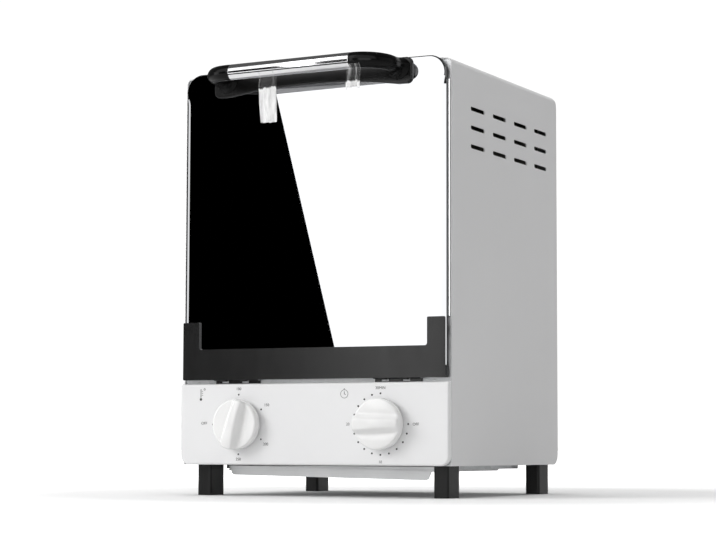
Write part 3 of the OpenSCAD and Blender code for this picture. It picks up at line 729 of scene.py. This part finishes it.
    # clear film: held under the bar and hanging down in front
    def film(name, node, top, low, ztail, seed):
        nx, R = 26, 6.95
        path = [(-38.0 - R * math.cos(rad(a)), 351.7 + R * math.sin(rad(a))) for a in (-28, -32, -36, -40, -44, -48, -52, -56, -60)]
        y1, z1 = path[-1]
        n_tail = 46
        for i in range(1, n_tail + 1):
            f = i / float(n_tail)
            path.append((y1 - 1.6 * math.sin(min(1.0, f * 2.5) * math.pi / 2), z1 - (z1 - ztail) * f))
        b = Build()
        verts, faces = [], []
        n = len(path)
        for i, (y, z) in enumerate(path):
            u = max(0.0, (i - 8) / float(n_tail))
            for j in range(nx + 1):
                t = j / float(nx)
                xa = top[0] + (top[1] - top[0]) * t
                xb = low[0] + (low[1] - low[0]) * t
                x = xa + (xb - xa) * u
                c = noise.noise(Vector((x * 0.23 + seed, z * 0.03, seed * 1.7)))
                c2 = noise.noise(Vector((x * 0.6 + seed, z * 0.09, 3.1 + seed)))
                dy = min(1.0, u * 4) * (1.1 * c + 0.4 * c2)
                dx = u * 0.4 * noise.noise(Vector((z * 0.11, seed, t * 2)))
                dz = 0.7 * u * u * noise.noise(Vector((x * 0.4, seed, 9.0)))
                verts.append((x + dx, max(-44.9, y + dy), z + dz))
        w = nx + 1
        for i in range(n - 1):
            for j in range(nx):
                faces.append((i * w + j, i * w + j + 1, (i + 1) * w + j + 1, (i + 1) * w + j))
        b.add(verts, faces)
        o = b.obj(name, [MATS["clear_film" if top[0] < 0 else "clear_film_thin"]], "door", node, angle=70, weighted=False)
        sm = o.modifiers.new("thickness", "SOLIDIFY")
        sm.thickness = 0.00012
        sm.offset = 0.0
        o.visible_glossy = False
        return o

    film("film_left", "film_tab_left", (-27.4, -10.6), (-25.0, -9.9), 305.8, 2.3)
    film("film_right", "film_tab_right", (53.1, 66.0), (53.8, 66.2), 304.2, 7.9)

    for n in ("side_channel_left", "side_channel_right"):
        smooth_node(n, bevel=0.18, seg=2)
    smooth_node("bottom_trim", bevel=0.4, seg=3)
    for n in ("handle_core", "handle_screws"):
        smooth_node(n, bevel=0.15, seg=2)


# ---------------------------------------------------------------- knobs
def knob(name, node, body, cx, cz, turn, seed):
    """Round knob with a tapered wedge grip. turn = degrees clockwise from upright."""
    b = Build()
    n_a, R = 144, 21.0
    rs = [0.0, 1.2, 2.4, 3.6, 4.8, 6.0, 7.2, 8.4, 9.6, 10.8, 12.0, 13.2, 14.4, 15.4, 16.4, 17.2, 17.9, 18.5, 19.0, 19.45, 19.85, 20.2, 20.5, 20.72, 20.88, 20.97, 21.0]
    e0 = 19.0

    def height(u, v):
        r = math.hypot(u, v)
        dome = 8.9 + 1.0 * (1 - (r / 21.0) ** 2)
        top = 15.35 - 2.2 * (abs(v) / 21.0) ** 2.2
        # the grip is narrow at the pointer end and wider at the tail
        half = 3.0 - 0.9 * (v / 21.0)
        fl = 7.8 - 1.1 * (v / 21.0)
        d = (abs(u) - half) / (fl - half)
        d = min(1.0, max(0.0, d))
        s = 1 - d * d * (3 - 2 * d)
        crown = 0.22 * (u / half) ** 2 if abs(u) < half else 0.22
        hollow = -0.9 * math.exp(-((abs(u) - fl - 0.6) / 2.6) ** 2) * (1 - (r / 21.0) ** 4)
        return dome + (top - crown - dome) * s + hollow

    ct, st = math.cos(rad(turn)), math.sin(rad(turn))
    verts, faces, rings = [], [], []

    def put(u, v, h):
        # u to the right of the pointer, v along it, h out of the panel
        x = u * ct + v * st
        z = -u * st + v * ct
        verts.append((cx + x, -1.2 - h, cz + z))
        return len(verts) - 1

    for r in rs:
        if r == 0:
            rings.append([put(0, 0, height(0, 0))])
            continue
        row = []
        for i in range(n_a):
            t = 2 * math.pi * i / n_a
            u, v = r * math.sin(t), r * math.cos(t)
            h = height(u, v)
            if r > e0:
                q = (r - e0) / (R - e0)
                h -= (R - e0) * (1 - math.sqrt(max(0.0, 1 - q * q)))
            row.append(put(u, v, h))
        rings.append(row)
    for r, h in [(21.0, 5.5), (20.95, 2.5), (20.8, 1.6), (20.5, 1.2), (17.2, 1.1), (17.0, 0.9), (17.0, 0.0), (3.3, 0.0), (3.05, 0.25), (3.05, 6.8), (0.0, 6.8)]:
        if r == 0:
            rings.append([put(0, 0, h)])
        else:
            rings.append([put(r * math.sin(2 * math.pi * i / n_a), r * math.cos(2 * math.pi * i / n_a), h) for i in range(n_a)])
    for a, c in zip(rings, rings[1:]):
        for i in range(n_a):
            j = (i + 1) % n_a
            if len(a) == 1:
                faces.append((a[0], c[i], c[j]))
            elif len(c) == 1:
                faces.append((a[i], c[0], a[j]))
            else:
                faces.append((a[i], a[j], c[j], c[i]))
    b.add(verts, faces)
    b.obj(name, [MATS["knob_white"]], body, node, angle=50, weighted=False)


def controls():
    # pressed panel: soft front edges and a turned-in rim
    p = Build()
    o = [(-125, 26), (125, 26), (125, 93.8), (-125, 93.8)]
    outer = fillet(o, [8, 8, 1.6, 1.6], 6)
    rings = arc_rings(-0.5, 3, 1.7, 5) + [(4.7, 0.0), (5.0, 0.25), (5.0, 0.75), (4.7, 1.0), (1.6, 1.0), (0.9, 1.3), (0.5, 1.9)]
    holes = [circle(-67.5, 59.7, 5.0, 28), circle(65.0, 59.7, 5.0, 28)]
    p.plate(outer, rings, holes=holes, hole_rings=[(-0.5, -0.0), (0.5, 0.0)])
    p.obj("front_panel", [MATS["panel_paint"]], "root", "control_panel", angle=40)

    knob("knob_temperature", "temperature_knob", "temperature_dial", -67.5, 59.7, 16.0, 1)
    knob("knob_timer", "timer_knob", "timer_dial", 65.0, 59.7, 90.0, 2)

    # printed scale: numbers and two plain symbols, as thin raised ink
    def text(body_text, name, px, pz, size):
        cu = bpy.data.curves.new(name, "FONT")
        cu.body = body_text
        cu.size = size / 1000.0
        cu.align_x = "CENTER"
        cu.align_y = "CENTER"
        cu.extrude = 0.00004
        cu.resolution_u = 3
        t = bpy.data.objects.new(name + "_tmp", cu)
        bpy.context.scene.collection.objects.link(t)
        t.rotation_euler = (math.pi / 2, 0, 0)
        t.location = W(px, -0.55, pz)
        bpy.context.view_layer.update()
        dg = bpy.context.evaluated_depsgraph_get()
        me = bpy.data.meshes.new_from_object(t.evaluated_get(dg))
        me.transform(t.matrix_world)
        bpy.data.objects.remove(t)
        bm = bmesh.new()
        bm.from_mesh(me)
        bmesh.ops.remove_doubles(bm, verts=bm.verts, dist=1e-7)
        bmesh.ops.dissolve_degenerate(bm, dist=1e-7, edges=bm.edges)
        bmesh.ops.recalc_face_normals(bm, faces=bm.faces)
        bm.to_mesh(me)
        bm.free()
        me.materials.clear()
        me.materials.append(MATS["print_ink"])
        ob = bpy.data.objects.new(name, me)
        bpy.context.scene.collection.objects.link(ob)
        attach(ob, "root")
        return ob

    LABELS = [("100", -68.2, 89.3), ("150", -41.3, 75.7), ("200", -42.0, 43.2), ("250", -68.2, 30.6), ("OFF", -101.6, 60.6),
              ("30MIN", 64.2, 89.0), ("20", 34.6, 59.6), ("10", 64.2, 29.0), ("OFF", 96.0, 59.4)]
    for i, (s, x, z) in enumerate(LABELS):
        text(s, "label_%d" % i, x, z, 3.3)

    ic = Build()
    y0, y1 = -0.59, -0.5

    def stroke(pts, w):
        for (ax, az), (bx, bz) in zip(pts, pts[1:]):
            d = Vector((bx - ax, bz - az))
            d.normalize()
            nx, nz = -d.y * w / 2, d.x * w / 2
            ic.plate([(ax - nx, az - nz), (bx - nx, bz - nz), (bx + nx, bz + nz), (ax + nx, az + nz)], [(y0, 0), (y1, 0)])

    # thermometer
    tx, tz = -105.0, 80.9
    ic.plate(circle(tx, tz, 1.15, 20), [(y0, 0), (y1, 0)])
    stroke([(tx, tz + 1.5), (tx, tz + 8.6)], 0.55)
    for k in range(3):
        stroke([(tx + 0.9, tz + 3.4 + 1.7 * k), (tx + 2.0, tz + 3.4 + 1.7 * k)], 0.4)
    ic.plate(circle(tx + 3.6, tz + 8.4, 0.9, 18), [(y0, 0), (y1, 0)], holes=[circle(tx + 3.6, tz + 8.4, 0.55, 18)])
    # clock
    kx, kz = 31.3, 84.4
    ic.plate(circle(kx, kz, 3.55, 40), [(y0, 0), (y1, 0)], holes=[circle(kx, kz, 3.2, 40)])
    stroke([(kx, kz - 0.1), (kx, kz + 2.0)], 0.4)
    stroke([(kx, kz), (kx + 1.3, kz - 0.6)], 0.4)
    stroke([(kx - 0.5, kz + 4.1), (kx + 0.5, kz + 4.1)], 0.5)
    ic.obj("panel_symbols", [MATS["print_ink"]], "root", (), angle=40, weighted=False)
    smooth_node("dial_marks")


door_pieces()
controls()

# ---------------------------------------------------------------- CAD nodes that are kept
for n, bevel in [("outer_shell", 0.35), ("back_cover", 0.25), ("base_pan", 0.3), ("front_frame", 0.25), ("door_seal", 0.5),
                 ("chamber_liner", 0.3), ("rack_rails", 0.3), ("feet", 0.8), ("crumb_tray", 0.25), ("tray_guides", 0.2),
                 ("instrument_tray", 0.35), ("hinge_bracket_left", 0.3), ("hinge_bracket_right", 0.3), ("terminal_block", 0.3),
                 ("thermal_cutout", 0.2), ("timer_body", 0.3), ("thermostat_body", 0.3), ("cable_gland", 0.4), ("insulation_blanket", 0.0)]:
    smooth_node(n, bevel=bevel, seg=2)
for n in ("back_cover_screws", "foot_screws", "hinge_pins", "wire_rack", "upper_elements", "lower_elements", "element_insulators",
          "thermostat_bulb", "control_nuts", "wiring_harness", "thermostat_shaft", "timer_shaft"):
    smooth_node(n)

# ---------------------------------------------------------------- studio
def plane(name, pts, mat):
    me = bpy.data.meshes.new(name)
    me.from_pydata(pts, [], [tuple(range(len(pts)))])
    me.materials.append(mat)
    o = bpy.data.objects.new(name, me)
    bpy.context.scene.collection.objects.link(o)
    return o


def emit(name, v):
    mt = bpy.data.materials.new(name)
    mt.use_nodes = True
    t = mt.node_tree
    t.nodes.clear()
    o = t.nodes.new("ShaderNodeOutputMaterial")
    e = t.nodes.new("ShaderNodeEmission")
    e.inputs["Color"].default_value = (1, 1, 1, 1)
    e.inputs["Strength"].default_value = v
    t.links.new(e.outputs[0], o.inputs[0])
    return mt


def glossy_only(o):
    o.visible_camera = False
    o.visible_diffuse = False
    o.visible_shadow = False
    o.visible_transmission = False
    o.visible_volume_scatter = False


def camera_only(o):
    o.visible_diffuse = False
    o.visible_glossy = False
    o.visible_shadow = False
    o.visible_transmission = False
    o.visible_volume_scatter = False


# the white floor that is seen, and a dimmer one that lights the object from below
fl = Mat("floor")
fn = fl.noise(3.0, 3)
fl.set(Base_Color=fl.ramp(fn, [(0.3, grey(0.81)), (0.7, grey(0.83))]), Roughness=0.9, Specular_IOR_Level=0.1)
fl.b.inputs["Emission Color"].default_value = (1, 1, 1, 1)
fd = fl.n("ShaderNodeVectorMath", operation="DISTANCE")
fl.link(fl.co.outputs["Object"], fd.inputs[0])
fd.inputs[1].default_value = (0.02, 0.05, 0.0)
fl.link(fl.maprange(fd.outputs["Value"], 0.0, 1.0, 0.30, 0.95), fl.b.inputs["Emission Strength"])
camera_only(plane("floor", [(-30, -30, 0), (30, -30, 0), (30, 30, 0), (-30, 30, 0)], fl.m))
fb = Mat("floor_bounce")
fb.set(Base_Color=fb.ramp(fb.noise(3.0, 3), [(0.3, grey(0.74)), (0.7, grey(0.78))]), Roughness=0.9, Specular_IOR_Level=0.1)
fbo = plane("floor_bounce", [(-12, -12, -0.001), (12, -12, -0.001), (12, 12, -0.001), (-12, 12, -0.001)], fb.m)
fbo.visible_camera = False
fbo.visible_shadow = False
# white backdrop all round, seen only by the camera
bk = bmesh.new()
bmesh.ops.create_uvsphere(bk, u_segments=32, v_segments=16, radius=28.0)
bkm = bpy.data.meshes.new("backdrop")
bk.to_mesh(bkm)
bk.free()
bkm.materials.append(emit("backdrop", 1.05))
bko = bpy.data.objects.new("backdrop", bkm)
bpy.context.scene.collection.objects.link(bko)
camera_only(bko)

# card seen in the door: its slanted edge is the line across the glass
yc = -1.102
card = plane("card_front", [(-0.503 + 0.262 * 0.3, yc, -0.10), (-0.30, yc, -0.10), (-0.30, yc, 1.92), (-0.503 - 0.262 * (1.92 - 0.1986), yc, 1.92)], emit("card", 3.1))
glossy_only(card)
dark = plane("card_dark", [(-3.2, -1.35, -0.2), (1.3, -1.35, -0.2), (1.3, -1.35, 2.6), (-3.2, -1.35, 2.6)], emit("card_black", 0.0))
glossy_only(dark)
# dim surround for reflections, so that black parts stay black between the bright cards
gk = bmesh.new()
bmesh.ops.create_uvsphere(gk, u_segments=32, v_segments=16, radius=20.0)
gkm = bpy.data.meshes.new("surround")
gk.to_mesh(gkm)
gk.free()
gkm.materials.append(emit("surround", 0.10))
gko = bpy.data.objects.new("surround", gkm)
bpy.context.scene.collection.objects.link(gko)
glossy_only(gko)
cr = plane("card_right", [(1.6, -0.7, 0.1), (1.6, 0.9, 0.1), (1.6, 0.9, 1.4), (1.6, -0.7, 1.4)], emit("card_right", 0.45))
glossy_only(cr)
cb = plane("card_back", [(-1.2, 1.9, 0.1), (1.2, 1.9, 0.1), (1.2, 1.9, 1.5), (-1.2, 1.9, 1.5)], emit("card_back", 0.7))
glossy_only(cb)
sidec = plane("card_side", [(-1.3, -1.08, 0.08), (-1.3, -0.45, 0.08), (-1.3, -0.45, 0.66), (-1.3, -1.08, 0.66)], emit("card_side", 2.1))
glossy_only(sidec)

rimc = plane("card_rim", [(0.03, yc, 0.10), (0.88, yc, 0.10), (0.88, yc, 0.60), (0.03, yc, 0.60)], emit("card_rim", 2.9))
glossy_only(rimc)
top_card = plane("card_top", [(-2.6, yc - 0.02, 0.615), (1.6, yc - 0.02, 0.615), (1.6, yc - 0.02, 2.0), (-2.6, yc - 0.02, 2.0)], emit("card_top", 1.5))
glossy_only(top_card)

world = bpy.data.worlds.new("studio")
bpy.context.scene.world = world
world.use_nodes = True
wt = world.node_tree
wt.nodes.clear()
wo = wt.nodes.new("ShaderNodeOutputWorld")
wb = wt.nodes.new("ShaderNodeBackground")
wc = wt.nodes.new("ShaderNodeTexCoord")
ws = wt.nodes.new("ShaderNodeSeparateXYZ")
wr = wt.nodes.new("ShaderNodeValToRGB")
wt.links.new(wc.outputs["Generated"], ws.inputs[0])
wt.links.new(ws.outputs["Z"], wr.inputs[0])
el = wr.color_ramp.elements
el[0].position, el[0].color = 0.0, (0.57, 0.57, 0.57, 1)
el[1].position, el[1].color = 1.0, (0.05, 0.05, 0.05, 1)
for pos, v in ((0.62, 0.51), (0.80, 0.08)):
    e = el.new(pos)
    e.color = (v, v, v, 1)
wt.links.new(wr.outputs[0], wb.inputs["Color"])
wb.inputs["Strength"].default_value = 1.0
wt.links.new(wb.outputs[0], wo.inputs[0])


def area(name, loc, target, size, power, size_y=None, glossy=False):
    l = bpy.data.lights.new(name, "AREA")
    l.energy = power
    l.shape = "RECTANGLE"
    l.size = size
    l.size_y = size_y or size
    o = bpy.data.objects.new(name, l)
    bpy.context.scene.collection.objects.link(o)
    o.location = loc
    o.rotation_euler = (Vector(target) - Vector(loc)).to_track_quat("-Z", "Y").to_euler()
    o.visible_glossy = glossy
    o.visible_camera = False
    return o


area("key", (-1.5, -1.6, 1.1), (0, 0, 0.15), 1.2, 31)
area("top", (0.0, 0.1, 2.4), (0, 0, 0), 1.8, 43)

sc = bpy.context.scene
sc.view_settings.view_transform = "Standard"
sc.view_settings.look = "None"
sc.view_settings.exposure = 0.0
sc.view_settings.gamma = 1.0

bpy.context.view_layer.update()
